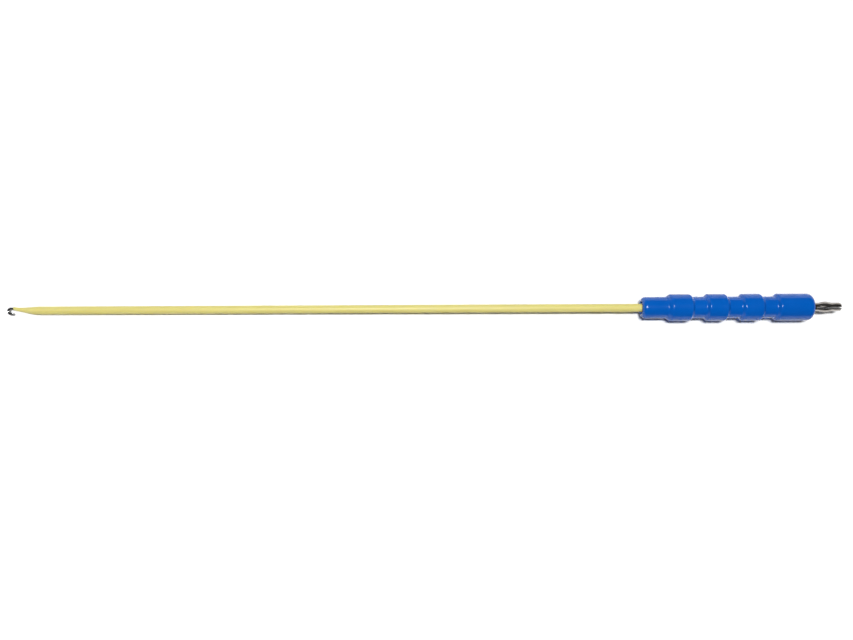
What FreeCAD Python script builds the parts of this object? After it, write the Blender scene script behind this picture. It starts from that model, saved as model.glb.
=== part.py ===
import FreeCAD, Part
import math
import os
import Sketcher

# Laparoscopic hook electrode: a J hook on a long insulated rod, a ribbed handle and a slotted plug.
# Millimetres. +X runs along the rod's axis from the hook to the plug, and x is 0 at the handle's nose.
# The hook lies in the XY plane, its wire above the axis (+Y) and its open side towards the handle.

os.makedirs("parts", exist_ok=True)
document = FreeCAD.newDocument("hook_electrode")
sheet = document.addObject("Spreadsheet::Sheet", "Sizes")

SIZES = {
    # hook and rod
    "wire_radius": 0.65,
    "hook_reach": 3.6,
    "hook_return": 3.42,
    "hook_bend_radius": 1.4,
    "hook_offset": 1.07,
    "hook_tip_flat": 0.05,
    "crank_length": 9.0,
    "wire_straight": 2.0,
    "wire_grip": 8.0,
    "rod_radius": 1.7,
    # insulating sleeve
    "shaft_length": 326.4,
    "sleeve_wall": 0.42,
    "sleeve_tip_wall": 0.2,
    "taper_length": 13.5,
    "sleeve_root_wall": 0.23,
    "sleeve_root_length": 19.0,
    # handle, outside
    "neck_radius": 5.6,
    "grip_radius": 7.0,
    "neck_length": 13.0,
    "lead_slope": 2.0,
    "first_ring_land": 10.0,
    "ring_land": 9.0,
    "groove_length": 6.45,
    "groove_count": 3,
    "slope_length": 1.35,
    "barrel_land": 17.85,
    "nose_rounding": 2.2,
    "tail_bevel": 1.2,
    # handle, inside
    "recess_mouth_room": 1.16,
    "recess_floor_room": 0.76,
    "recess_depth": 1.1,
    "front_bore_depth": 22.0,
    "chamber_depth": 46.0,
    "chamber_radius": 4.05,
    # seals
    "nose_seal_section": 1.4,
    "nose_seal_depth": 6.0,
    "rear_seal_section": 1.2,
    "rear_seal_depth": 7.5,
    "seal_side_room": 0.1,
    # coupling
    "rod_grip": 12.0,
    "coupling_web": 2.0,
    "stud_radius": 1.5,
    "stud_grip": 9.0,
    "stud_hole_spare": 1.0,
    "grub_screw_radius": 1.25,
    "grub_screw_spacing": 5.0,
    "grub_screw_inset": 3.5,
    "grub_screw_recess": 0.15,
    "hex_key_size": 1.3,
    "hex_key_depth": 1.2,
    # plug
    "washer_thickness": 0.6,
    "washer_split_angle": 12.0,
    "flange_radius": 3.4,
    "flange_thickness": 2.0,
    "plug_radius": 2.15,
    "plug_root_length": 2.0,
    "plug_root_gap": 0.06,
    "leaf_length": 13.7,
    "plug_bore_radius": 0.65,
    "leaf_straight": 1.26,
    "bow_length": 8.6,
    "bow_height": 0.6,
    "bow_slope": 11.0,
    "plug_nose_bevel": 1.0,
    "plug_slot": 0.7,
    "plug_roll": 13.0,
    # fits
    "fit_gap": 0.02,
    "end_gap": 0.1,
    "edge_break": 0.3,
}
for row, (alias, size) in enumerate(SIZES.items(), start=1):
    sheet.set(f"A{row}", alias)
    sheet.set(f"B{row}", str(size))
    sheet.setAlias(f"B{row}", alias)
document.recompute()

# Places along the axis and radii that several pieces share, as sums of the sizes.
SLEEVE_TIP = "(-Sizes.shaft_length)"
TAPER_END = "(Sizes.taper_length - Sizes.shaft_length)"
CRANK_END = "(Sizes.crank_length - Sizes.shaft_length)"
ROD_START = f"({CRANK_END} + Sizes.wire_straight)"
FIRST_GROOVE = "(Sizes.neck_length + Sizes.lead_slope + Sizes.first_ring_land)"
GROOVE_PITCH = "(Sizes.groove_length + 2 * Sizes.slope_length + Sizes.ring_land)"
BARREL_START = (
    f"({FIRST_GROOVE} + (Sizes.groove_count - 1) * {GROOVE_PITCH}"
    " + Sizes.groove_length + 2 * Sizes.slope_length)"
)
HANDLE_END = f"({BARREL_START} + Sizes.barrel_land)"
ROD_END = "(Sizes.chamber_depth + Sizes.rod_grip)"
STUD_HOLE_END = f"({ROD_END} + Sizes.coupling_web)"
COUPLING_END = f"({STUD_HOLE_END} + Sizes.stud_hole_spare + Sizes.stud_grip)"
FLANGE_FRONT = f"({COUPLING_END} + Sizes.washer_thickness)"
FLANGE_BACK = f"({FLANGE_FRONT} + Sizes.flange_thickness)"
LEAF_ROOT = f"({HANDLE_END} + Sizes.plug_root_length)"
COUPLING_RADIUS = "(Sizes.chamber_radius - Sizes.fit_gap)"
SLEEVE_BORE = "(Sizes.rod_radius + Sizes.fit_gap)"
SLEEVE_RADIUS = f"({SLEEVE_BORE} + Sizes.sleeve_wall)"
SLEEVE_ROOT_RADIUS = f"({SLEEVE_BORE} + Sizes.sleeve_root_wall)"
WIRE_BORE = "(Sizes.wire_radius + Sizes.fit_gap)"

# How far the middle of a quarter-round lies from both faces it joins, as a share of its radius.
BLUNTING = "(1 - sqrt(0.5))"


def value(expression):
    """The expression's present value, in millimetres or degrees."""
    return float(sheet.evalExpression(expression))


def new_body(name):
    body = document.addObject("PartDesign::Body", name)
    body.Label = name
    return body


def new_sketch(body, name, plane, offset=None):
    """A sketch on one of the body's origin planes, moved along the plane's normal by an expression."""
    support = next(part for part in body.Origin.OriginFeatures if part.Role == plane)
    sketch = body.newObject("Sketcher::SketchObject", name)
    sketch.AttachmentSupport = (support, [""])
    sketch.MapMode = "FlatFace"
    if offset is not None:
        sketch.setExpression("AttachmentOffset.Base.z", offset)
    return sketch


def tie(sketch, constraint, name, expression):
    """Adds a dimension and binds it to an expression."""
    index = sketch.addConstraint(constraint)
    sketch.renameConstraint(index, name)
    sketch.setExpression(f"Constraints.{name}", expression)


def outline(sketch, corners):
    """A closed outline through corners, each (x, y) in expressions.

    A third entry bends the run that leaves that corner into an arc of that radius. A fourth says
    which way the arc turns: "left", or "right".
    """
    spots = [FreeCAD.Vector(value(corner[0]), value(corner[1]), 0) for corner in corners]
    starts, ends = [], []
    for i, corner in enumerate(corners):
        start, end = spots[i], spots[(i + 1) % len(spots)]
        if len(corner) == 2:
            sketch.addGeometry(Part.LineSegment(start, end), False)
            starts.append(1)
            ends.append(2)
            continue
        radius, left = value(corner[2]), corner[3] == "left"
        run = end - start
        side = FreeCAD.Vector(-run.y, run.x, 0).normalize() * (1 if left else -1)
        centre = (start + end) / 2 + side * math.sqrt(radius**2 - (run.Length / 2) ** 2)
        first, last = (start, end) if left else (end, start)
        angles = [math.atan2(spot.y - centre.y, spot.x - centre.x) for spot in (first, last)]
        circle = Part.Circle(centre, FreeCAD.Vector(0, 0, 1), radius)
        sketch.addGeometry(Part.ArcOfCircle(circle, *angles), False)
        starts.append(1 if left else 2)
        ends.append(2 if left else 1)
    for i, corner in enumerate(corners):
        following = (i + 1) % len(corners)
        sketch.addConstraint(
            Sketcher.Constraint("Coincident", i, ends[i], following, starts[following])
        )
        for axis, kind, expression in ((0, "DistanceX", corner[0]), (1, "DistanceY", corner[1])):
            bound = Sketcher.Constraint(kind, i, starts[i], spots[i][axis])
            tie(sketch, bound, f"{'xy'[axis]}{i}", expression)
        if len(corner) > 2:
            tie(sketch, Sketcher.Constraint("Radius", i, value(corner[2])), f"arc{i}", corner[2])


def ring_outline(sketch, x, y, radius):
    """A circle with its centre and radius given by expressions."""
    centre = FreeCAD.Vector(value(x), value(y), 0)
    circle = sketch.addGeometry(Part.Circle(centre, FreeCAD.Vector(0, 0, 1), value(radius)), False)
    tie(sketch, Sketcher.Constraint("DistanceX", circle, 3, centre.x), f"x{circle}", x)
    tie(sketch, Sketcher.Constraint("DistanceY", circle, 3, centre.y), f"y{circle}", y)
    tie(sketch, Sketcher.Constraint("Radius", circle, value(radius)), f"radius{circle}", radius)


def turn(body, name, corners, kind="Revolution", angle="360"):
    """A half section in (x, radius) turned about the X axis: added, or cut where kind is Groove."""
    sketch = new_sketch(body, f"{name}_section", "XY_Plane")
    outline(sketch, corners)
    feature = body.newObject(f"PartDesign::{kind}", name)
    feature.Profile = sketch
    feature.ReferenceAxis = (sketch, ["H_Axis"])
    feature.setExpression("Angle", angle)
    document.recompute()
    return feature


def ring_edges(feature, rings):
    """Names of the feature's circular edges that lie at the given (x, radius) pairs of expressions."""
    wanted = [(value(x), value(radius)) for x, radius in rings]
    found = []
    for number, edge in enumerate(feature.Shape.Edges, start=1):
        curve = edge.Curve
        if not isinstance(curve, Part.Circle):
            continue
        if any(
            abs(curve.Center.x - x) < 0.001 and abs(curve.Radius - radius) < 0.001
            for x, radius in wanted
        ):
            found.append(f"Edge{number}")
    return found


def bevel(body, name, feature, rings, size):
    """Bevels the turned edges at the given places."""
    chamfer = body.newObject("PartDesign::Chamfer", name)
    chamfer.Base = (feature, ring_edges(feature, rings))
    chamfer.setExpression("Size", size)
    document.recompute()


def loft(body, name, kind, stations):
    """A loft through circles square to the X axis, each (x, y, radius) in expressions."""
    sketches = []
    for i, (x, y, radius) in enumerate(stations, start=1):
        sketch = new_sketch(body, f"{name}_station_{i}", "YZ_Plane", x)
        ring_outline(sketch, y, "0", radius)
        sketches.append(sketch)
    feature = body.newObject(f"PartDesign::{kind}Loft", name)
    feature.Profile = sketches[0]
    feature.Sections = sketches[1:]
    document.recompute()
    return feature


def crank(body, name, kind, radius):
    """The slanting run that brings the hook's wire, or its bore, down to the rod's axis."""
    start, end = (SLEEVE_TIP, "Sizes.hook_offset", radius), (CRANK_END, "0", radius)
    return loft(body, name, kind, [start, end])


def hook_electrode():
    """Stainless wire bent to a J in front, with a crank and a straight shank held in the rod."""
    body = new_body("hook_electrode")
    bend_x = f"{SLEEVE_TIP} - Sizes.hook_reach + Sizes.wire_radius + Sizes.hook_bend_radius"
    arm_y = "Sizes.hook_offset - 2 * Sizes.hook_bend_radius"
    arm_end = f"{SLEEVE_TIP} - Sizes.hook_reach + Sizes.hook_return"
    path = new_sketch(body, "hook_path", "XY_Plane")
    root, bend = (
        FreeCAD.Vector(value(x), value("Sizes.hook_offset"), 0) for x in (SLEEVE_TIP, bend_x)
    )
    arm, tip = (FreeCAD.Vector(value(x), value(arm_y), 0) for x in (bend_x, arm_end))
    path.addGeometry(Part.LineSegment(root, bend), False)
    circle = Part.Circle((bend + arm) / 2, FreeCAD.Vector(0, 0, 1), (bend - arm).Length / 2)
    path.addGeometry(Part.ArcOfCircle(circle, math.pi / 2, 3 * math.pi / 2), False)
    path.addGeometry(Part.LineSegment(arm, tip), False)
    path.addConstraint(Sketcher.Constraint("Coincident", 0, 2, 1, 1))
    path.addConstraint(Sketcher.Constraint("Coincident", 1, 2, 2, 1))
    tie(path, Sketcher.Constraint("DistanceX", 0, 1, root.x), "root_x", SLEEVE_TIP)
    tie(path, Sketcher.Constraint("DistanceY", 0, 1, root.y), "root_y", "Sizes.hook_offset")
    tie(path, Sketcher.Constraint("DistanceX", 0, 2, bend.x), "bend_x", bend_x)
    tie(path, Sketcher.Constraint("DistanceY", 0, 2, bend.y), "bend_y", "Sizes.hook_offset")
    tie(path, Sketcher.Constraint("DistanceX", 1, 3, bend.x), "centre_x", bend_x)
    tie(path, Sketcher.Constraint("DistanceX", 2, 1, arm.x), "arm_x", bend_x)
    tie(path, Sketcher.Constraint("DistanceY", 2, 1, arm.y), "arm_y", arm_y)
    tie(path, Sketcher.Constraint("DistanceX", 2, 2, tip.x), "tip_x", arm_end)
    tie(path, Sketcher.Constraint("DistanceY", 2, 2, tip.y), "tip_y", arm_y)

    section = new_sketch(body, "wire_section", "YZ_Plane", SLEEVE_TIP)
    ring_outline(section, "Sizes.hook_offset", "0", "Sizes.wire_radius")
    wire = body.newObject("PartDesign::AdditivePipe", "hook_wire")
    wire.Profile = section
    wire.Spine = (path, ["Edge1", "Edge2", "Edge3"])
    document.recompute()
    tip_edges = [
        f"Edge{number}"
        for number, edge in enumerate(wire.Shape.Edges, start=1)
        if isinstance(edge.Curve, Part.Circle) and (edge.Curve.Center - tip).Length < 0.001
    ]
    tip_round = body.newObject("PartDesign::Fillet", "hook_tip_rounding")
    tip_round.Base = (wire, tip_edges)
    tip_round.setExpression("Radius", "Sizes.wire_radius - Sizes.hook_tip_flat")
    document.recompute()

    crank(body, "wire_crank", "Additive", "Sizes.wire_radius")
    turn(
        body,
        "wire_shank",
        [
            (CRANK_END, "0"),
            (CRANK_END, "Sizes.wire_radius"),
            (f"{ROD_START} + Sizes.wire_grip", "Sizes.wire_radius"),
            (f"{ROD_START} + Sizes.wire_grip", "0"),
        ],
    )
    return body


def shaft_rod():
    """Stainless rod, bored in front for the hook's wire and bevelled at both ends."""
    body = new_body("shaft_rod")
    bore_end = f"{ROD_START} + Sizes.wire_grip + Sizes.end_gap"
    turned = turn(
        body,
        "rod",
        [
            (ROD_START, WIRE_BORE),
            (ROD_START, "Sizes.rod_radius"),
            (ROD_END, "Sizes.rod_radius"),
            (ROD_END, "0"),
            (bore_end, "0"),
            (bore_end, WIRE_BORE),
        ],
    )
    rims = [(ROD_START, "Sizes.rod_radius"), (ROD_END, "Sizes.rod_radius")]
    bevel(body, "rod_bevels", turned, rims, "Sizes.edge_break")
    return body


TAPER_STATIONS = 5
TAPER_LIFT_POWER = 2.5


def insulation_sleeve():
    """Plastic sleeve over the whole rod, drawn down over the wire, thinner inside the handle.

    At a share s of the taper the radius has grown by 3s^2 - 2s^3 of the difference, and the
    centre has come down to (1 - s)^2.5 of the hook's offset.
    """
    body = new_body("insulation_sleeve")
    tip_radius = f"({WIRE_BORE} + Sizes.sleeve_tip_wall)"
    stations = []
    for i in range(TAPER_STATIONS):
        share = i / (TAPER_STATIONS - 1)
        growth = 3 * share**2 - 2 * share**3
        stations.append(
            (
                f"{SLEEVE_TIP} + Sizes.taper_length * {share}",
                f"Sizes.hook_offset * {(1 - share) ** TAPER_LIFT_POWER:.5f}",
                f"{tip_radius} + ({SLEEVE_RADIUS} - {tip_radius}) * {growth:.5f}",
            )
        )
    loft(body, "sleeve_taper", "Additive", stations)
    sleeve_end = "(Sizes.recess_depth + Sizes.sleeve_root_length)"
    turn(
        body,
        "sleeve_tube",
        [
            (TAPER_END, "0"),
            (TAPER_END, SLEEVE_RADIUS),
            ("Sizes.recess_depth", SLEEVE_RADIUS),
            ("Sizes.recess_depth", SLEEVE_ROOT_RADIUS),
            (sleeve_end, SLEEVE_ROOT_RADIUS),
            (sleeve_end, "0"),
        ],
    )
    crank(body, "wire_bore", "Subtractive", WIRE_BORE)
    rod_room = f"({ROD_START} - Sizes.end_gap)"
    turn(
        body,
        "rod_bore",
        [
            (CRANK_END, "0"),
            (CRANK_END, WIRE_BORE),
            (rod_room, WIRE_BORE),
            (rod_room, f"{SLEEVE_BORE} - Sizes.edge_break"),
            (f"{rod_room} + Sizes.edge_break", SLEEVE_BORE),
            (sleeve_end, SLEEVE_BORE),
            (sleeve_end, "0"),
        ],
        "Groove",
    )
    return body


def handle_grip():
    """Moulded plastic handle: a neck, three rings and a barrel, bored in steps for what it holds.

    The nose has two bevels that meet where a rounding of their size would have its middle.
    """
    body = new_body("handle_grip")
    neck, grip = "Sizes.neck_radius", "Sizes.grip_radius"
    blunt = f"({BLUNTING} * Sizes.nose_rounding)"
    first_ring = "(Sizes.neck_length + Sizes.lead_slope)"
    turn(
        body,
        "handle_blank",
        [
            ("0", "0"),
            ("0", f"{neck} - Sizes.nose_rounding"),
            (blunt, f"{neck} - {blunt}"),
            ("Sizes.nose_rounding", neck),
            ("Sizes.neck_length", neck),
            (first_ring, grip),
            (HANDLE_END, grip),
            (HANDLE_END, "0"),
        ],
    )
    groove = turn(
        body,
        "finger_groove",
        [
            (FIRST_GROOVE, grip),
            (f"{FIRST_GROOVE} + Sizes.slope_length", neck),
            (f"{FIRST_GROOVE} + Sizes.slope_length + Sizes.groove_length", neck),
            (f"{FIRST_GROOVE} + 2 * Sizes.slope_length + Sizes.groove_length", grip),
        ],
        "Groove",
    )
    pattern = body.newObject("PartDesign::LinearPattern", "finger_grooves")
    pattern.Originals = [groove]
    pattern.Direction = (groove.Profile[0], ["H_Axis"])
    pattern.setExpression("Length", f"(Sizes.groove_count - 1) * {GROOVE_PITCH}")
    pattern.setExpression("Occurrences", "Sizes.groove_count")
    body.Tip = pattern
    document.recompute()

    bevel(body, "tail_edge", pattern, [(HANDLE_END, grip)], "Sizes.tail_bevel")

    front_bore = f"({SLEEVE_ROOT_RADIUS} + Sizes.fit_gap)"
    seal_groove = f"({SLEEVE_ROOT_RADIUS} + Sizes.nose_seal_section + 2 * Sizes.fit_gap)"
    half_seal = "(Sizes.nose_seal_section / 2 + Sizes.seal_side_room)"
    turn(
        body,
        "stepped_bore",
        [
            ("0", "0"),
            ("0", f"{SLEEVE_RADIUS} + Sizes.recess_mouth_room"),
            ("Sizes.recess_depth", f"{SLEEVE_RADIUS} + Sizes.recess_floor_room"),
            ("Sizes.recess_depth", front_bore),
            (f"Sizes.nose_seal_depth - {half_seal}", front_bore),
            (f"Sizes.nose_seal_depth - {half_seal}", seal_groove),
            (f"Sizes.nose_seal_depth + {half_seal}", seal_groove),
            (f"Sizes.nose_seal_depth + {half_seal}", front_bore),
            ("Sizes.front_bore_depth", front_bore),
            ("Sizes.front_bore_depth", SLEEVE_BORE),
            ("Sizes.chamber_depth", SLEEVE_BORE),
            ("Sizes.chamber_depth", "Sizes.chamber_radius"),
            (HANDLE_END, "Sizes.chamber_radius"),
            (HANDLE_END, "0"),
        ],
        "Groove",
    )
    return body


def seal_ring(name, place, inner_radius, section):
    """A square-cut rubber ring about the X axis, its place and size given by expressions."""
    body = new_body(name)
    front, back = f"{place} - {section} / 2", f"{place} + {section} / 2"
    outer_radius = f"{inner_radius} + {section}"
    corners = [
        (front, inner_radius),
        (front, outer_radius),
        (back, outer_radius),
        (back, inner_radius),
    ]
    turn(body, f"{name}_turned", corners)
    return body


def rod_coupling():
    """Brass coupling in the handle: a plain hole for the rod, a tapped one for the plug's stud."""
    body = new_body("rod_coupling")
    stud_bore = "(Sizes.stud_radius + Sizes.fit_gap)"
    turn(
        body,
        "coupling_blank",
        [
            ("Sizes.chamber_depth", SLEEVE_BORE),
            ("Sizes.chamber_depth", COUPLING_RADIUS),
            (COUPLING_END, COUPLING_RADIUS),
            (COUPLING_END, stud_bore),
            (STUD_HOLE_END, stud_bore),
            (STUD_HOLE_END, "0"),
            (ROD_END, "0"),
            (ROD_END, SLEEVE_BORE),
        ],
    )
    sketch = new_sketch(body, "grub_screw_holes", "XY_Plane")
    for i in range(2):
        place = (
            f"Sizes.chamber_depth + Sizes.grub_screw_inset + {i} * Sizes.grub_screw_spacing"
        )
        ring_outline(sketch, place, "0", "Sizes.grub_screw_radius + Sizes.fit_gap")
    before = body.Shape.Volume
    pocket = body.newObject("PartDesign::Pocket", "grub_screw_bores")
    pocket.Profile = sketch
    pocket.Reversed = True
    pocket.setExpression("Length", "Sizes.chamber_radius")
    document.recompute()
    assert body.Shape.Volume < before, "the screw bores cut nothing"
    return body


def coupling_grub_screws():
    """Two socket set screws in line on the coupling's top, their points on the rod."""
    screws = []
    low = "(Sizes.rod_radius + Sizes.fit_gap)"
    high = f"({COUPLING_RADIUS} - Sizes.grub_screw_recess)"
    for i in range(2):
        place = (
            f"Sizes.chamber_depth + Sizes.grub_screw_inset + {i} * Sizes.grub_screw_spacing"
        )
        shank = document.addObject("Part::Cylinder", f"grub_screw_shank_{i + 1}")
        shank.setExpression("Radius", "Sizes.grub_screw_radius")
        shank.setExpression("Height", f"{high} - {low}")
        shank.setExpression("Placement.Base.x", place)
        shank.setExpression("Placement.Base.z", low)
        socket = document.addObject("Part::Prism", f"grub_screw_socket_{i + 1}")
        socket.Polygon = 6
        socket.setExpression("Circumradius", "Sizes.hex_key_size / sqrt(3)")
        socket.setExpression("Height", "Sizes.hex_key_depth")
        socket.setExpression("Placement.Base.x", place)
        socket.setExpression("Placement.Base.z", f"{high} - Sizes.hex_key_depth")
        screw = document.addObject("Part::Cut", f"grub_screw_{i + 1}")
        screw.Base = shank
        screw.Tool = socket
        screws.append(screw)
    group = document.addObject("Part::Compound", "coupling_grub_screws")
    group.Label = "coupling_grub_screws"
    group.Links = screws
    return group


def lock_washer():
    """Split spring washer between the coupling and the plug's flange."""
    body = new_body("lock_washer")
    bore = "(Sizes.stud_radius + Sizes.end_gap)"
    turn(
        body,
        "washer",
        [
            (COUPLING_END, bore),
            (COUPLING_END, "Sizes.flange_radius"),
            (FLANGE_FRONT, "Sizes.flange_radius"),
            (FLANGE_FRONT, bore),
        ],
        "Revolution",
        "360 - Sizes.washer_split_angle",
    )
    return body


def rear_bush():
    """Plastic bush that closes the handle's rear bore, grooved for its seal, flush behind."""
    body = new_body("rear_bush")
    groove = "(Sizes.chamber_radius - Sizes.rear_seal_section - 2 * Sizes.fit_gap)"
    half_seal = "(Sizes.rear_seal_section / 2 + Sizes.seal_side_room)"
    seal = f"({HANDLE_END} - Sizes.rear_seal_depth)"
    bore = "(Sizes.plug_radius + Sizes.fit_gap)"
    turn(
        body,
        "bush",
        [
            (FLANGE_BACK, bore),
            (FLANGE_BACK, COUPLING_RADIUS),
            (f"{seal} - {half_seal}", COUPLING_RADIUS),
            (f"{seal} - {half_seal}", groove),
            (f"{seal} + {half_seal}", groove),
            (f"{seal} + {half_seal}", COUPLING_RADIUS),
            (HANDLE_END, COUPLING_RADIUS),
            (HANDLE_END, bore),
        ],
    )
    return body


def plug_pin():
    """The plug's turned root: a stud for the coupling, a flange and the shank that carries the leaves."""
    body = new_body("plug_pin")
    stud_end = f"{COUPLING_END} - Sizes.stud_grip"
    shank_end = f"{LEAF_ROOT} - Sizes.plug_root_gap"
    turned = turn(
        body,
        "plug_root",
        [
            (stud_end, "0"),
            (stud_end, "Sizes.stud_radius"),
            (FLANGE_FRONT, "Sizes.stud_radius"),
            (FLANGE_FRONT, "Sizes.flange_radius"),
            (FLANGE_BACK, "Sizes.flange_radius"),
            (FLANGE_BACK, "Sizes.plug_radius"),
            (shank_end, "Sizes.plug_radius"),
            (shank_end, "0"),
        ],
    )
    stud_edge = [(stud_end, "Sizes.stud_radius")]
    bevel(body, "stud_bevel", turned, stud_edge, "Sizes.edge_break")
    return body


def plug_leaf(number):
    """One of the plug's four spring leaves: a quarter of a bored pin with a bow and a bevelled nose.

    The bow has two straight flanks and a crest that is an arc tangent to both. Flanks that rise at
    an angle t over half the bow's length h would meet above the bow's height b, so the arc's
    radius is (h tan t - b) cos t / (1 - cos t). The nose has two bevels that meet where a rounding
    of their size would have its middle.
    """
    body = new_body(f"plug_leaf_{number}")
    outer, inner = "Sizes.plug_radius", "Sizes.plug_bore_radius"
    half, slope = "(Sizes.bow_length / 2)", "Sizes.bow_slope"
    crest = f"(({half} * tan({slope}) - Sizes.bow_height) * cos({slope}) / (1 - cos({slope})))"
    reach = f"({crest} * sin({slope}))"
    shoulder = f"{outer} + ({half} - {reach}) * tan({slope})"
    middle = f"({LEAF_ROOT} + Sizes.leaf_straight + {half})"
    tip = f"({LEAF_ROOT} + Sizes.leaf_length)"
    nose = "Sizes.plug_nose_bevel"
    blunt = f"({BLUNTING} * {nose})"
    turn(
        body,
        "leaf_blank",
        [
            (LEAF_ROOT, inner),
            (LEAF_ROOT, outer),
            (f"{middle} - {half}", outer),
            (f"{middle} - {reach}", shoulder, crest, "right"),
            (f"{middle} + {reach}", shoulder),
            (f"{middle} + {half}", outer),
            (f"{tip} - {nose}", outer),
            (f"{tip} - {blunt}", f"{outer} - {blunt}"),
            (tip, f"{outer} - {nose}"),
            (tip, inner),
        ],
    )
    wide = f"({outer} + 2 * Sizes.bow_height)"
    edge = "Sizes.plug_slot / 2"
    sketch = new_sketch(body, "slots", "YZ_Plane", LEAF_ROOT)
    outline(
        sketch,
        [
            (f"-{wide}", f"-{wide}"),
            (wide, f"-{wide}"),
            (wide, edge),
            (edge, edge),
            (edge, wide),
            (f"-{wide}", wide),
        ],
    )
    before = body.Shape.Volume
    pocket = body.newObject("PartDesign::Pocket", "quarter")
    pocket.Profile = sketch
    pocket.Reversed = True
    pocket.setExpression("Length", "Sizes.leaf_length")
    document.recompute()
    assert body.Shape.Volume < before / 4, "the slots cut nothing"
    roll = f"Sizes.plug_roll + {90 * (number - 1)}"
    body.setExpression(
        "Placement", f"placement(vector(0; 0; 0); rotation(vector(1; 0; 0); {roll}))"
    )
    return body


nodes = [
    hook_electrode(),
    shaft_rod(),
    insulation_sleeve(),
    handle_grip(),
    seal_ring(
        "nose_seal_ring",
        "Sizes.nose_seal_depth",
        f"{SLEEVE_ROOT_RADIUS} + Sizes.fit_gap",
        "Sizes.nose_seal_section",
    ),
    rod_coupling(),
    coupling_grub_screws(),
    lock_washer(),
    plug_pin(),
    rear_bush(),
    seal_ring(
        "rear_seal_ring",
        f"{HANDLE_END} - Sizes.rear_seal_depth",
        "Sizes.chamber_radius - Sizes.rear_seal_section - Sizes.fit_gap",
        "Sizes.rear_seal_section",
    ),
]
nodes += [plug_leaf(number) for number in range(1, 5)]
document.recompute()

for item in document.Objects:
    if "Invalid" in item.State or "Error" in item.State:
        raise RuntimeError(f"{item.Name} failed: {item.State}")
for node in nodes:
    if node.Shape.isNull() or not node.Shape.isValid():
        raise RuntimeError(f"{node.Label} has no valid shape")
for node in nodes:
    node.Shape.exportStep(f"parts/{node.Label}.step")
    box = node.Shape.BoundBox
    print(
        f"{node.Label}: {len(node.Shape.Solids)} solid, {node.Shape.Volume:.1f} mm3, "
        f"x {box.XMin:.2f} to {box.XMax:.2f}, y {box.YMin:.2f} to {box.YMax:.2f}, "
        f"z {box.ZMin:.2f} to {box.ZMax:.2f}"
    )
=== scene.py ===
import math

import bpy
import numpy as np
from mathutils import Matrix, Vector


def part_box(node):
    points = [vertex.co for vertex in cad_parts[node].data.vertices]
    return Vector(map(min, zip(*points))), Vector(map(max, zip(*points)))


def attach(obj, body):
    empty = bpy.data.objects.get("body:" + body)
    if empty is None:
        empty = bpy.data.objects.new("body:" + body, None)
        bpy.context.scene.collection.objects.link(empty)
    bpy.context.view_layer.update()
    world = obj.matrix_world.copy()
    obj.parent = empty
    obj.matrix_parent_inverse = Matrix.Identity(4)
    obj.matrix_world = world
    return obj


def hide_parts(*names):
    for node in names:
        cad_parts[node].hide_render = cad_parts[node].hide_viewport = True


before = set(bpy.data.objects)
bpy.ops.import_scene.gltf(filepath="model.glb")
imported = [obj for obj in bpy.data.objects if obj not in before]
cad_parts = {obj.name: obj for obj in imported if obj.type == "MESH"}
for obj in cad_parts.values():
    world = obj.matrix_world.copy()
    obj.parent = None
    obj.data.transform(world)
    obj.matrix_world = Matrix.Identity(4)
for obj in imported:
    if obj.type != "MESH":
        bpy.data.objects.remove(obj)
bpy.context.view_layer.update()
MM = 0.001

# Camera and table. The instrument lies on a white table, on its first ring and on the sleeve near
# the hook, so the table slopes a little against the rod's axis. The camera looks straight down on
# its middle, and one soft lamp hangs over the table's far half.
IMAGE_WIDTH = 853
FOCAL_PIXELS = 720
SENSOR_WIDTH = 36.0
CAMERA_PLACE = np.array([-111.6, -5.84, 375.0]) * MM
CAMERA_ROLL = math.radians(-0.27)
CAMERA_NEAR = 10.0 * MM
SHARP_EDGE = math.radians(32)
RING_START = 15.0 * MM
HANDLE_RADIUS = 7.0 * MM
TAPER_LENGTH = 13.5 * MM
TABLE_SIZE = 12.0
TABLE_GAP = 0.02 * MM
TABLE_PAINT = 0.95
SEEN_WHITE = 1.04
WHITE = (1.0, 1.0, 1.0, 1.0)
LAMP_POWER = 17.8
LAMP_PLACE = np.array([-140.0, 180.0, 1240.0]) * MM
LAMP_AIM = np.array([-110.0, 0.0, 0.0]) * MM

handle_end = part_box("handle_grip")[1].x
sleeve_low, sleeve_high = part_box("insulation_sleeve")
sleeve_tip, sleeve_end, sleeve_radius = sleeve_low.x, sleeve_high.x, sleeve_high.z
taper_end = sleeve_tip + TAPER_LENGTH

camera_data = bpy.data.cameras.new("camera")
camera_data.sensor_width = SENSOR_WIDTH
camera_data.lens = FOCAL_PIXELS / IMAGE_WIDTH * SENSOR_WIDTH
camera_data.clip_start = CAMERA_NEAR
camera = bpy.data.objects.new("camera", camera_data)
camera.location = CAMERA_PLACE
camera.rotation_euler = (0.0, 0.0, CAMERA_ROLL)
bpy.context.scene.collection.objects.link(camera)
bpy.context.scene.camera = camera
bpy.context.scene.view_settings.view_transform = "Standard"


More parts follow.
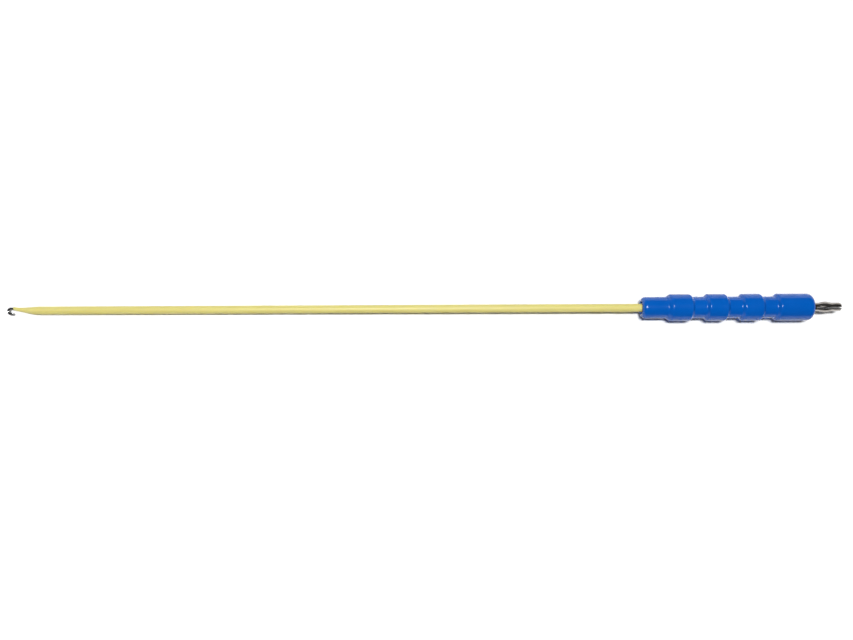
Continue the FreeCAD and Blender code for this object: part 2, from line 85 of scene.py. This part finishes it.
def skin(name, rings, closed=False):
    """A mesh through rings of points, an array of rings by points by 3.

    Point j of ring i joins point j of ring i + 1, and each ring closes on itself. With closed,
    the last ring joins the first, as on a turned ring; otherwise a fan from the mean of each end
    ring closes that end. Faces point outwards where the rings turn about their direction of
    travel by the right-hand rule.
    """
    count, around = rings.shape[:2]
    points = rings.reshape(-1, 3)
    step = np.arange(count if closed else count - 1)[:, None]
    turn = np.arange(around)[None, :]
    ahead, beside = (step + 1) % count, (turn + 1) % around
    quads = np.stack(
        np.broadcast_arrays(
            step * around + turn,
            step * around + beside,
            ahead * around + beside,
            ahead * around + turn,
        ),
        axis=-1,
    ).reshape(-1, 4)
    faces = quads.tolist()
    if not closed:
        points = np.vstack([points, rings[0].mean(0), rings[-1].mean(0)])
        first, last = count * around, count * around + 1
        final = (count - 1) * around
        loop, following = np.arange(around), (np.arange(around) + 1) % around
        faces += np.stack([following, loop, np.full(around, first)], 1).tolist()
        faces += np.stack([final + loop, final + following, np.full(around, last)], 1).tolist()
    mesh = bpy.data.meshes.new(name)
    mesh.from_pydata(points, [], faces)
    mesh.polygons.foreach_set("use_smooth", np.ones(len(mesh.polygons), bool))
    mesh.set_sharp_from_angle(angle=SHARP_EDGE)
    piece = bpy.data.objects.new(name, mesh)
    bpy.context.scene.collection.objects.link(piece)
    return piece


table_slope = math.atan2(sleeve_radius - HANDLE_RADIUS, RING_START - taper_end)
table_normal = np.array([-math.sin(table_slope), 0.0, math.cos(table_slope)])
table_middle = np.array([RING_START, 0.0, -HANDLE_RADIUS]) - table_normal * TABLE_GAP
table_along = np.array([math.cos(table_slope), 0.0, math.sin(table_slope)]) * TABLE_SIZE / 2
table_across = np.array([0.0, TABLE_SIZE / 2, 0.0])
table_mesh = bpy.data.meshes.new("table")
table_mesh.from_pydata(
    [
        table_middle - table_along - table_across,
        table_middle + table_along - table_across,
        table_middle + table_along + table_across,
        table_middle - table_along + table_across,
    ],
    [],
    [(0, 1, 2, 3)],
)
table = bpy.data.objects.new("table", table_mesh)
bpy.context.scene.collection.objects.link(table)

table_paint = bpy.data.materials.new("white_table")
table_paint.use_nodes = True
nodes, links = table_paint.node_tree.nodes, table_paint.node_tree.links
nodes.clear()
output = nodes.new("ShaderNodeOutputMaterial")
paint_and_glow = nodes.new("ShaderNodeAddShader")
paint = nodes.new("ShaderNodeBsdfDiffuse")
paint.inputs["Color"].default_value = (TABLE_PAINT, TABLE_PAINT, TABLE_PAINT, 1)
glow = nodes.new("ShaderNodeEmission")
glow.inputs["Color"].default_value = WHITE


def worked_out(tree, value, steps):
    """Puts a value through math nodes, each with its own second number or socket."""
    for operation, second in steps:
        step = tree.nodes.new("ShaderNodeMath")
        step.operation = operation
        tree.links.new(value, step.inputs[0])
        if isinstance(second, float):
            step.inputs[1].default_value = second
        else:
            tree.links.new(second, step.inputs[1])
        value = step.outputs[0]
    return value


# At a distance d from the point below the lamp, its light on the table is 1 / (1 + (d / h)^2)^2 of
# that at the point, with h the lamp's height. The table glows by what is missing to white, and only
# in what the camera, gloss and glass see, so it looks white all over and lights nothing.
lamp_height = float(LAMP_PLACE[2])
brightest = TABLE_PAINT * LAMP_POWER / (math.pi * lamp_height) ** 2
on_table = nodes.new("ShaderNodeTexCoord")
distance = nodes.new("ShaderNodeVectorMath")
distance.operation = "DISTANCE"
distance.inputs[1].default_value = LAMP_PLACE * [1, 1, 0]
links.new(on_table.outputs["Object"], distance.inputs[0])
missing = worked_out(
    table_paint.node_tree,
    distance.outputs["Value"],
    [
        ("DIVIDE", lamp_height),
        ("POWER", 2.0),
        ("ADD", 1.0),
        ("POWER", -2.0),
        ("MULTIPLY", -brightest),
        ("ADD", SEEN_WHITE),
        ("MAXIMUM", 0.0),
    ],
)
ray = nodes.new("ShaderNodeLightPath")
seen = worked_out(
    table_paint.node_tree,
    ray.outputs["Is Camera Ray"],
    [
        ("MAXIMUM", ray.outputs["Is Glossy Ray"]),
        ("MAXIMUM", ray.outputs["Is Transmission Ray"]),
        ("MULTIPLY", missing),
    ],
)
links.new(seen, glow.inputs["Strength"])
links.new(paint.outputs[0], paint_and_glow.inputs[0])
links.new(glow.outputs[0], paint_and_glow.inputs[1])
links.new(paint_and_glow.outputs[0], output.inputs["Surface"])
table.data.materials.append(table_paint)

# Room and lamp. The room is dim, so that the lamp and the table do the lighting. Behind the table
# the camera sees white, and so do gloss and glass up to the backdrop's edge. The lamp is a plain
# rectangular softbox. Heights in the room are sines of the angle above the horizon.
ROOM_WALL = (0.07, 0.07, 0.07, 1.0)
ROOM_CEILING = (0.025, 0.025, 0.02625, 1.0)
WALL_TOP = 0.5
CEILING_EDGE = 0.9
BACKDROP_FULL = 0.04
BACKDROP_EDGE = 0.16
LAMP_SIZE = np.array([360.0, 140.0]) * MM

world = bpy.data.worlds.new("room")
world.use_nodes = True
bpy.context.scene.world = world
nodes, links = world.node_tree.nodes, world.node_tree.links
background = nodes["Background"]
direction = nodes.new("ShaderNodeTexCoord")
height = nodes.new("ShaderNodeSeparateXYZ")
shade = nodes.new("ShaderNodeValToRGB")
shade.color_ramp.interpolation = "EASE"
wall, ceiling = shade.color_ramp.elements
wall.position, wall.color = WALL_TOP, ROOM_WALL
ceiling.position, ceiling.color = CEILING_EDGE, ROOM_CEILING
backdrop = nodes.new("ShaderNodeMix")
backdrop.data_type = "RGBA"
backdrop.inputs["B"].default_value = WHITE
low = nodes.new("ShaderNodeMapRange")
low.inputs["From Min"].default_value = BACKDROP_FULL
low.inputs["From Max"].default_value = BACKDROP_EDGE
low.inputs["To Min"].default_value = 1.0
low.inputs["To Max"].default_value = 0.0
eye = nodes.new("ShaderNodeLightPath")
shown = worked_out(
    world.node_tree,
    eye.outputs["Is Glossy Ray"],
    [
        ("MAXIMUM", eye.outputs["Is Transmission Ray"]),
        ("MULTIPLY", low.outputs["Result"]),
        ("MAXIMUM", eye.outputs["Is Camera Ray"]),
    ],
)
links.new(direction.outputs["Generated"], height.inputs[0])
links.new(height.outputs["Z"], shade.inputs["Fac"])
links.new(shade.outputs["Color"], backdrop.inputs["A"])
links.new(height.outputs["Z"], low.inputs["Value"])
links.new(shown, backdrop.inputs["Factor"])
links.new(backdrop.outputs["Result"], background.inputs["Color"])

lamp_data = bpy.data.lights.new("softbox", "AREA")
lamp_data.shape = "RECTANGLE"
lamp_data.size, lamp_data.size_y = LAMP_SIZE
lamp_data.energy = LAMP_POWER
lamp = bpy.data.objects.new("softbox", lamp_data)
lamp.location = LAMP_PLACE
back = LAMP_PLACE - LAMP_AIM
lamp.rotation_euler = (
    math.acos(back[2] / np.linalg.norm(back)),
    0.0,
    math.atan2(back[1], back[0]) + math.pi / 2,
)
bpy.context.scene.collection.objects.link(lamp)


# Handle. Turned from a bar of blue plastic: a neck in front, three rings that the fingers hold,
# and a barrel behind. All edges are a little rounded, and the sleeve sinks into a recess in the nose.
NECK_RADIUS = 5.6 * MM
NOSE_ROUNDING = 2.2 * MM
TAIL_ROUNDING = 2.4 * MM
CREST_ROUNDING = 0.75 * MM
VALLEY_ROUNDING = 0.9 * MM
RIM_ROUNDING = 0.15 * MM
NECK_LENGTH = 13.0 * MM
LEAD_SLOPE = 2.0 * MM
FIRST_LAND = 10.0 * MM
RING_LAND = 9.0 * MM
GROOVE_LENGTH = 6.45 * MM
SLOPE_LENGTH = 1.35 * MM
GROOVE_COUNT = 3
RECESS_MOUTH = 3.3 * MM
RECESS_FLOOR = 2.9 * MM
RECESS_DEPTH = 1.1 * MM
FRONT_BORE = 1.97 * MM
CHAMBER_START = 46.0 * MM
CHAMBER_RADIUS = 4.05 * MM
TURN_STEPS = 160
ARC_STEPS = 8
HOLD = 0.04 * MM
BLUE = (0.0, 0.092, 0.44)
PALE_BLUE = (0.0, 0.1, 0.465)
EVEN = (1, 1, 1)
ROUND_THE_ROD = (1, 0.02, 0.02)


def rounded(corners):
    """Points of a closed outline whose corners (x, y, radius) are rounded by arcs.

    An arc of radius r that turns by an angle t starts r tan(t / 2) before the corner and ends as
    far after it. A point HOLD before and after each arc keeps the flats flat when smooth-shaded.
    """
    spots = np.array([corner[:2] for corner in corners], float)
    found = []
    for i, (x, y, radius) in enumerate(corners):
        into = spots[i] - spots[i - 1]
        out = spots[(i + 1) % len(spots)] - spots[i]
        into, out = into / np.linalg.norm(into), out / np.linalg.norm(out)
        if radius == 0:
            found.append(spots[i : i + 1])
            continue
        turn = math.atan2(into[0] * out[1] - into[1] * out[0], into @ out)
        start = spots[i] - into * radius * math.tan(abs(turn) / 2)
        side = np.array([-into[1], into[0]]) * math.copysign(1, turn)
        angle = np.linspace(0, abs(turn), ARC_STEPS + 1)[:, None]
        arc = start + radius * (np.sin(angle) * into + (1 - np.cos(angle)) * side)
        found += [arc[:1] - into * HOLD, arc, arc[-1:] + out * HOLD]
    return np.vstack(found)


def turned(outline, steps=TURN_STEPS):
    """Rings of an outline (x, r) turned about the X axis: (x, r cos a, r sin a)."""
    angle = np.linspace(0, 2 * math.pi, steps, endpoint=False)
    x = np.broadcast_to(outline[:, :1], (len(outline), steps))
    return np.stack([x, outline[:, 1:] * np.cos(angle), outline[:, 1:] * np.sin(angle)], -1)


def lathe_piece(name, outline):
    """A closed solid of revolution about the X axis, from a closed outline with its bore."""
    return skin(name, turned(outline), closed=True)


handle_outline = [
    (RECESS_DEPTH, FRONT_BORE, 0),
    (RECESS_DEPTH, RECESS_FLOOR, 0),
    (0.0, RECESS_MOUTH, RIM_ROUNDING),
    (0.0, NECK_RADIUS, NOSE_ROUNDING),
    (NECK_LENGTH, NECK_RADIUS, VALLEY_ROUNDING),
    (NECK_LENGTH + LEAD_SLOPE, HANDLE_RADIUS, CREST_ROUNDING),
]
groove_start = NECK_LENGTH + LEAD_SLOPE + FIRST_LAND
for _ in range(GROOVE_COUNT):
    floor_start = groove_start + SLOPE_LENGTH
    handle_outline += [
        (groove_start, HANDLE_RADIUS, CREST_ROUNDING),
        (floor_start, NECK_RADIUS, VALLEY_ROUNDING),
        (floor_start + GROOVE_LENGTH, NECK_RADIUS, VALLEY_ROUNDING),
        (floor_start + GROOVE_LENGTH + SLOPE_LENGTH, HANDLE_RADIUS, CREST_ROUNDING),
    ]
    groove_start = floor_start + GROOVE_LENGTH + SLOPE_LENGTH + RING_LAND
handle_outline += [
    (handle_end, HANDLE_RADIUS, TAIL_ROUNDING),
    (handle_end, CHAMBER_RADIUS, 0),
    (CHAMBER_START, CHAMBER_RADIUS, 0),
    (CHAMBER_START, FRONT_BORE, 0),
]
handle = lathe_piece("handle_body", rounded(handle_outline))


def finish(name, colour, roughness, metallic=0.0):
    """A material with one principled shader, and its node tree's parts to build on."""
    material = bpy.data.materials.new(name)
    material.use_nodes = True
    tree = material.node_tree
    shader = tree.nodes["Principled BSDF"]
    shader.inputs["Base Color"].default_value = (*colour, 1)
    shader.inputs["Roughness"].default_value = roughness
    shader.inputs["Metallic"].default_value = metallic
    return material, tree, shader


def grain(tree, stretch, scale, detail=2.0):
    """Noise over the piece's own coordinates, each axis first multiplied by its stretch.

    The scale is in patches per metre.
    """
    place = tree.nodes.new("ShaderNodeTexCoord")
    mapping = tree.nodes.new("ShaderNodeMapping")
    mapping.inputs["Scale"].default_value = stretch
    noise = tree.nodes.new("ShaderNodeTexNoise")
    noise.inputs["Scale"].default_value = scale
    noise.inputs["Detail"].default_value = detail
    tree.links.new(place.outputs["Object"], mapping.inputs["Vector"])
    tree.links.new(mapping.outputs["Vector"], noise.inputs["Vector"])
    return noise.outputs["Fac"]


def spread(tree, factor, low, high, start=0.3, end=0.7):
    """Turns a factor from start to end into a value from low to high."""
    span = tree.nodes.new("ShaderNodeMapRange")
    span.inputs["From Min"].default_value = start
    span.inputs["From Max"].default_value = end
    span.inputs["To Min"].default_value = low
    span.inputs["To Max"].default_value = high
    tree.links.new(factor, span.inputs["Value"])
    return span.outputs["Result"]


def tint(tree, factor, first, second):
    """Blends two colours by a factor."""
    mix = tree.nodes.new("ShaderNodeMix")
    mix.data_type = "RGBA"
    mix.inputs["A"].default_value = (*first, 1)
    mix.inputs["B"].default_value = (*second, 1)
    tree.links.new(factor, mix.inputs["Factor"])
    return mix.outputs["Result"]


def relief(tree, shader, height, depth):
    """Bumps the surface by a height field, at its real depth in metres."""
    bump = tree.nodes.new("ShaderNodeBump")
    bump.inputs["Strength"].default_value = 1.0
    bump.inputs["Distance"].default_value = depth
    tree.links.new(height, bump.inputs["Height"])
    tree.links.new(bump.outputs["Normal"], shader.inputs["Normal"])


def blue_plastic():
    """Satin turned plastic: faint clouds in the colour and fine rings left by the tool."""
    material, tree, shader = finish("blue_plastic", BLUE, 0.2)
    shader.inputs["Specular IOR Level"].default_value = 0.4
    clouds = grain(tree, EVEN, scale=60.0, detail=3.0)
    worn = grain(tree, EVEN, scale=150.0)
    tool_rings = grain(tree, ROUND_THE_ROD, scale=2600.0, detail=1.0)
    colour = tint(tree, spread(tree, clouds, 0, 1), BLUE, PALE_BLUE)
    tree.links.new(colour, shader.inputs["Base Color"])
    tree.links.new(spread(tree, worn, low=0.16, high=0.23), shader.inputs["Roughness"])
    relief(tree, shader, tool_rings, depth=0.002 * MM)
    return material


handle.data.materials.append(blue_plastic())
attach(handle, "instrument")
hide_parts("handle_grip")


# Insulating sleeve. A hard yellow plastic tube shrunk over the whole rod. Its last 13.5 mm are
# drawn down over the hook's wire, which leaves the axis there, so the taper's top has a dip.
HOOK_OFFSET = 1.07 * MM
WIRE_RADIUS = 0.65 * MM
WIRE_GAP = 0.02 * MM
TIP_WALL = 0.2 * MM
TIP_EDGE = 0.07 * MM
TAPER_LIFT_POWER = 2.5
CRANK_LENGTH = 9.0 * MM
SLEEVE_BORE = 1.72 * MM
SLEEVE_ROOT_RADIUS = 1.95 * MM
STRAIGHT_MARGIN = 1.0 * MM
TAPER_STEPS = 90
EDGE_STEPS = 5
STRAW_YELLOW = (0.675, 0.6, 0.195)
PALE_YELLOW = (0.725, 0.65, 0.23)
LIGHT_REACH = 0.9 * MM
ALONG_THE_ROD = (0.03, 1, 1)


def tube(x, lift, radius, steps=96):
    """Rings square to the X axis at x, centred at y = lift: (x, lift + r cos a, r sin a)."""
    angle = np.linspace(0, 2 * math.pi, steps, endpoint=False)
    x, lift, radius = (np.asarray(row, float)[:, None] for row in (x, lift, radius))
    across, up = lift + radius * np.cos(angle), radius * np.sin(angle)
    return np.stack([np.broadcast_to(x, across.shape), across, up], -1)


def sleeve_taper(share):
    """Lift and radius of the drawn-down end at a share s of its length from the hook.

    The radius grows by 3s^2 - 2s^3 of the difference, and the centre drops as (1 - s)^2.5.
    """
    tip_radius = WIRE_RADIUS + WIRE_GAP + TIP_WALL
    radius = tip_radius + (sleeve_radius - tip_radius) * (3 * share**2 - 2 * share**3)
    return HOOK_OFFSET * (1 - share) ** TAPER_LIFT_POWER, radius


taper_share = np.linspace(0, 1, TAPER_STEPS)
taper_lift, taper_radius = sleeve_taper(taper_share)
edge_turn = np.linspace(0, math.pi / 2, EDGE_STEPS)
edge = TIP_EDGE * (1 - np.sin(edge_turn))
edge_x = sleeve_tip + TIP_EDGE * (1 - np.cos(edge_turn))
taper_x = sleeve_tip + TIP_EDGE + (TAPER_LENGTH - TIP_EDGE) * taper_share
outside_x = [taper_end + STRAIGHT_MARGIN, RECESS_DEPTH, RECESS_DEPTH, sleeve_end]
outside_radius = [sleeve_radius, sleeve_radius, SLEEVE_ROOT_RADIUS, SLEEVE_ROOT_RADIUS]
wire_bore = WIRE_RADIUS + WIRE_GAP
bore_x = [sleeve_end, taper_end, sleeve_tip + CRANK_LENGTH, sleeve_tip]
bore_radius = [SLEEVE_BORE, SLEEVE_BORE, wire_bore, wire_bore]
sleeve_rings = np.concatenate(
    [
        tube(edge_x, np.full(EDGE_STEPS, HOOK_OFFSET), taper_radius[0] - edge),
        tube(taper_x[1:], taper_lift[1:], taper_radius[1:]),
        tube(outside_x, np.zeros(len(outside_x)), outside_radius),
        tube(bore_x, [0, 0, 0, HOOK_OFFSET], bore_radius),
    ]
)
sleeve = skin("insulating_sleeve", sleeve_rings, closed=True)


def yellow_insulation():
    """Drawn plastic, half matte: faint streaks along the tube, and light goes a little way in."""
    material, tree, shader = finish("yellow_insulation", STRAW_YELLOW, 0.35)
    shader.inputs["Specular IOR Level"].default_value = 0.35
    shader.inputs["Subsurface Weight"].default_value = 0.3
    shader.inputs["Subsurface Radius"].default_value = (1.0, 0.8, 0.3)
    shader.inputs["Subsurface Scale"].default_value = LIGHT_REACH
    streaks = grain(tree, ALONG_THE_ROD, scale=900.0)
    worn = grain(tree, (0.3, 1, 1), scale=300.0)
    drawn = grain(tree, (0.05, 1, 1), scale=1500.0)
    colour = tint(tree, spread(tree, streaks, 0, 1), STRAW_YELLOW, PALE_YELLOW)
    tree.links.new(colour, shader.inputs["Base Color"])
    tree.links.new(spread(tree, worn, low=0.3, high=0.42), shader.inputs["Roughness"])
    relief(tree, shader, drawn, depth=0.006 * MM)
    return material


sleeve.data.materials.append(yellow_insulation())
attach(sleeve, "instrument")
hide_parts("insulation_sleeve")


# Hook. One stainless wire bent to a J and polished, its end rounded so that it doesn't snag. Behind
# the J it slants down to the axis inside the sleeve and is brazed into the rod.
HOOK_REACH = 3.6 * MM
HOOK_RETURN = 3.42 * MM
BEND_RADIUS = 1.4 * MM
TIP_FLAT = 0.05 * MM
WIRE_STRAIGHT = 2.0 * MM
WIRE_GRIP = 8.0 * MM
CRANK_EASE = 0.2 * MM
CRANK_LIFT = 0.02 * MM
MOUTH_EASE = np.array([0.6, -0.05]) * MM
BEND_STEPS = 47
ARM_STEPS = 12
BLUNT_STEPS = 13
STEEL = (0.46, 0.46, 0.48)


def wire(path, radius, steps=48):
    """Rings of a radius carried along a path in the XY plane, square to the path at each point.

    With t the unit tangent, ring points are p + r (n cos a + z sin a), where n is t turned back
    by a quarter turn, so that the rings turn about t by the right-hand rule.
    """
    tangent = np.gradient(path, axis=0)
    tangent /= np.linalg.norm(tangent, axis=1, keepdims=True)
    angle = np.linspace(0, 2 * math.pi, steps, endpoint=False)
    side = np.stack([-tangent[:, 1], tangent[:, 0]], -1)[:, None, :]
    radius = radius[:, None]
    flat = path[:, None, :] + side * (radius * np.cos(angle))[:, :, None]
    up = np.broadcast_to(radius * np.sin(angle), flat.shape[:2])
    return np.concatenate([flat, up[:, :, None]], -1)


bend_x = sleeve_tip - HOOK_REACH + WIRE_RADIUS + BEND_RADIUS
arm_y = HOOK_OFFSET - 2 * BEND_RADIUS
arm_end = sleeve_tip - HOOK_REACH + HOOK_RETURN
tip_rounding = WIRE_RADIUS - TIP_FLAT
crank_end = sleeve_tip + CRANK_LENGTH
shank_end = crank_end + WIRE_STRAIGHT + WIRE_GRIP
mouth = np.array([sleeve_tip, HOOK_OFFSET])
bend_centre = np.array([bend_x, arm_y + BEND_RADIUS])
bend_turn = np.linspace(math.pi / 2, 3 * math.pi / 2, BEND_STEPS + 2)[1:-1]
blunting = np.linspace(0, math.pi / 2, BLUNT_STEPS)
arm_share = np.linspace(0, 1, ARM_STEPS)[:, None]
tip_x = arm_end - tip_rounding * (1 - np.sin(blunting))
hook_path = np.vstack(
    [
        [(shank_end, 0.0), (crank_end + CRANK_EASE, 0.0), (crank_end - CRANK_EASE, CRANK_LIFT)],
        [mouth + MOUTH_EASE, mouth],
        mouth + arm_share[1:] * [bend_x - sleeve_tip, 0.0],
        bend_centre + BEND_RADIUS * np.stack([np.cos(bend_turn), np.sin(bend_turn)], -1),
        np.array([bend_x, arm_y]) + arm_share[:-1] * [arm_end - tip_rounding - bend_x, 0.0],
        np.stack([tip_x, np.full(BLUNT_STEPS, arm_y)], -1),
    ]
)
hook_radius = np.full(len(hook_path), WIRE_RADIUS)
hook_radius[-BLUNT_STEPS:] = TIP_FLAT + tip_rounding * np.cos(blunting)
hook = skin("hook_wire", wire(hook_path, hook_radius))


def polished_steel():
    """Polished stainless steel with hairline scratches and slightly duller patches."""
    material, tree, shader = finish("polished_steel", STEEL, 0.1, metallic=1.0)
    patches = grain(tree, EVEN, scale=1800.0, detail=3.0)
    scratches = grain(tree, (0.15, 1, 1), scale=9000.0)
    tree.links.new(spread(tree, patches, low=0.06, high=0.16), shader.inputs["Roughness"])
    relief(tree, shader, scratches, depth=0.0015 * MM)
    return material


steel = polished_steel()
hook.data.materials.append(steel)
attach(hook, "instrument")
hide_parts("hook_electrode")


# Plug. A nickel-plated brass pin, turned, drilled and slit crosswise into four leaves that bow
# out and spring into the cable's socket. Its root is one with the leaves on the real pin.
LEAF_STRAIGHT = 1.26 * MM
BOW_LENGTH = 8.6 * MM
BOW_HEIGHT = 0.6 * MM
PLUG_RADIUS = 2.15 * MM
PLUG_BORE = 0.65 * MM
NOSE_SIZE = 1.0 * MM
SLOT_WIDTH = 0.7 * MM
SLOT_EDGE = 0.12 * MM
PLUG_ROLL = math.radians(13.0)
ROOT_REACH = 0.04 * MM
FACE_STEPS = 6
HALF_ARC_STEPS = 14
BORE_STEPS = 7
LEAF_STEPS = 60
NOSE_STEPS = 14
LEAF_COUNT = 4
NICKEL = (0.5, 0.47, 0.43)
DULL_NICKEL = (0.29, 0.26, 0.23)
BRIGHT_NICKEL = (0.56, 0.53, 0.5)
# Near-black painted shade for the plug's slots and bore.
SLOT_SHADE_BLACK = (0.03, 0.025, 0.02)
leaf_root, leaf_tip = (corner.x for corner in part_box("plug_leaf_1"))


def leaf_radius(x):
    """Outer radius along a leaf: a raised-cosine bow between straight ends, and a round nose."""
    middle = leaf_root + LEAF_STRAIGHT + BOW_LENGTH / 2
    swing = np.clip((x - middle) / (BOW_LENGTH / 2), -1, 1)
    body = PLUG_RADIUS + BOW_HEIGHT * (1 + np.cos(math.pi * swing)) / 2
    past = np.clip((x - leaf_tip + NOSE_SIZE) / NOSE_SIZE, 0, 1)
    return body - NOSE_SIZE * (1 - np.sqrt(1 - past**2))


def leaf_rings(x, roll):
    """Sections of a quarter of a bored pin, its slot faces half a slot from the axis planes.

    Each section runs out along one slot face, round the outer arc, in along the other slot face
    and back along the bore. Where a slot face meets the outer arc, a quadratic curve breaks the
    edge. The second half mirrors the first in the line y = z. Also gives each point's slot-shade
    value, 0 on the outer skin and 1 elsewhere, which paints shade into the slots and the bore.
    """
    outer = leaf_radius(x)[:, None]
    slot = SLOT_WIDTH / 2
    face_in = math.sqrt(PLUG_BORE**2 - slot**2)
    face_out = np.sqrt(outer**2 - slot**2)
    face_y = face_in + (face_out - SLOT_EDGE - face_in) * np.linspace(0, 1, FACE_STEPS)
    arc_from = np.arcsin(slot / outer) + SLOT_EDGE / outer
    curve = np.linspace(0, 1, FACE_STEPS)[1:-1]
    edge_y = (
        (1 - curve) ** 2 * (face_out - SLOT_EDGE)
        + 2 * curve * (1 - curve) * face_out
        + curve**2 * outer * np.cos(arc_from)
    )
    edge_z = (1 - curve**2) * slot + curve**2 * outer * np.sin(arc_from)
    half_arc = arc_from + (math.pi / 4 - arc_from) * np.linspace(0, 1, HALF_ARC_STEPS)
    half_y = np.hstack([face_y, edge_y, outer * np.cos(half_arc)])
    half_z = np.hstack([np.full(face_y.shape, slot), edge_z, outer * np.sin(half_arc)])
    bore_from = math.asin(slot / PLUG_BORE)
    bore_arc = np.linspace(math.pi / 2 - bore_from, bore_from, BORE_STEPS)[1:-1]
    bore = np.full_like(outer, PLUG_BORE)
    y = np.hstack([half_y, half_z[:, -2::-1], bore * np.cos(bore_arc)])
    z = np.hstack([half_z, half_y[:, -2::-1], bore * np.sin(bore_arc)])
    turned_y = y * math.cos(roll) - z * math.sin(roll)
    turned_z = y * math.sin(roll) + z * math.cos(roll)
    rings = np.stack([np.broadcast_to(x[:, None], y.shape), turned_y, turned_z], -1)
    outer_count = half_y.shape[1] - FACE_STEPS
    painted_slot_shade = np.ones(y.shape)
    painted_slot_shade[:, FACE_STEPS : FACE_STEPS + 2 * outer_count - 1] = 0
    return rings, painted_slot_shade


def nickel_plate():
    """Worn nickel plating: warm grey metal with streaks drawn lengthwise by the socket.

    Where the mesh's own slot-shade value is 1, in the slots and the bore, it is dull and painted near
    black: a painted shade that stands in for the shade deep inside them.
    """
    material, tree, shader = finish("nickel_plate", NICKEL, 0.16, metallic=1.0)
    streaks = grain(tree, (0.12, 1, 1), scale=2600.0, detail=3.0)
    rubbed = grain(tree, (0.2, 1, 1), scale=1500.0)
    plated = tint(tree, spread(tree, streaks, 0, 1), DULL_NICKEL, BRIGHT_NICKEL)
    # Where the slot-shade value is 1 the colour turns near black: painted shade in the slots and the
    # bore.
    slot_shade_value = tree.nodes.new("ShaderNodeAttribute")
    slot_shade_value.attribute_name = "painted_slot_shade"
    slot_shaded = tree.nodes.new("ShaderNodeMix")
    slot_shaded.data_type = "RGBA"
    slot_shaded.inputs["B"].default_value = (*SLOT_SHADE_BLACK, 1)
    tree.links.new(slot_shade_value.outputs["Fac"], slot_shaded.inputs["Factor"])
    tree.links.new(plated, slot_shaded.inputs["A"])
    tree.links.new(slot_shaded.outputs["Result"], shader.inputs["Base Color"])
    tree.links.new(spread(tree, rubbed, low=0.1, high=0.24), shader.inputs["Roughness"])
    relief(tree, shader, streaks, depth=0.004 * MM)
    return material


nickel = nickel_plate()
nose_x = leaf_tip - NOSE_SIZE * (1 - np.sin(np.linspace(0, math.pi / 2, NOSE_STEPS)[1:]))
body_x = np.linspace(leaf_root - ROOT_REACH, leaf_tip - NOSE_SIZE, LEAF_STEPS)
for number in range(1, LEAF_COUNT + 1):
    roll = PLUG_ROLL + 2 * math.pi / LEAF_COUNT * (number - 1)
    leaf_skin, leaf_slot_shade = leaf_rings(np.hstack([body_x, nose_x]), roll)
    leaf = skin(f"spring_leaf_{number}", leaf_skin)
    # Each point's slot-shade value: 1 paints shade into the slots, the bore and the root cap, 0 on
    # the outer skin and the nose.
    slot_shade_marks = leaf.data.attributes.new("painted_slot_shade", "FLOAT", "POINT").data
    root_and_nose = [1, 0]
    slot_shade_marks.foreach_set("value", np.hstack([leaf_slot_shade.ravel(), root_and_nose]).astype(np.float32))
    leaf.data.materials.append(nickel)
    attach(leaf, f"leaf_{number}")
    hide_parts(f"plug_leaf_{number}")


# Pieces that stay as the solids give them, nearly all inside the handle: the steel rod, the turned
# brass coupling that joins it to the plug with set screws and a washer, the rubber seals, the blue
# bush glued in behind, and the plug's nickel-plated root.
BRASS = (0.74, 0.55, 0.25)
GREY_STEEL = (0.42, 0.42, 0.44)
RUBBER = (0.02, 0.02, 0.02)


def brass():
    """Turned brass with tool rings."""
    material, tree, shader = finish("brass", BRASS, 0.3, metallic=1.0)
    tool_rings = grain(tree, ROUND_THE_ROD, scale=2200.0, detail=1.0)
    tree.links.new(spread(tree, tool_rings, low=0.22, high=0.42), shader.inputs["Roughness"])
    relief(tree, shader, tool_rings, depth=0.004 * MM)
    return material


def screw_steel():
    """Plain grey steel, slightly mottled."""
    material, tree, shader = finish("screw_steel", GREY_STEEL, 0.4, metallic=1.0)
    mottles = grain(tree, EVEN, scale=1500.0)
    tree.links.new(spread(tree, mottles, low=0.3, high=0.5), shader.inputs["Roughness"])
    return material


def seal_rubber():
    """Black rubber with a fine matte grain."""
    material, tree, shader = finish("seal_rubber", RUBBER, 0.7)
    relief(tree, shader, grain(tree, EVEN, scale=5000.0), depth=0.01 * MM)
    return material


yellow_brass, plain_steel, rubber = brass(), screw_steel(), seal_rubber()
inner_finishes = {
    "shaft_rod": steel,
    "rod_coupling": yellow_brass,
    "coupling_grub_screws": plain_steel,
    "lock_washer": plain_steel,
    "plug_pin": nickel,
    "rear_bush": handle.data.materials[0],
    "nose_seal_ring": rubber,
    "rear_seal_ring": rubber,
}
for node, material in inner_finishes.items():
    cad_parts[node].data.materials.clear()
    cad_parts[node].data.materials.append(material)
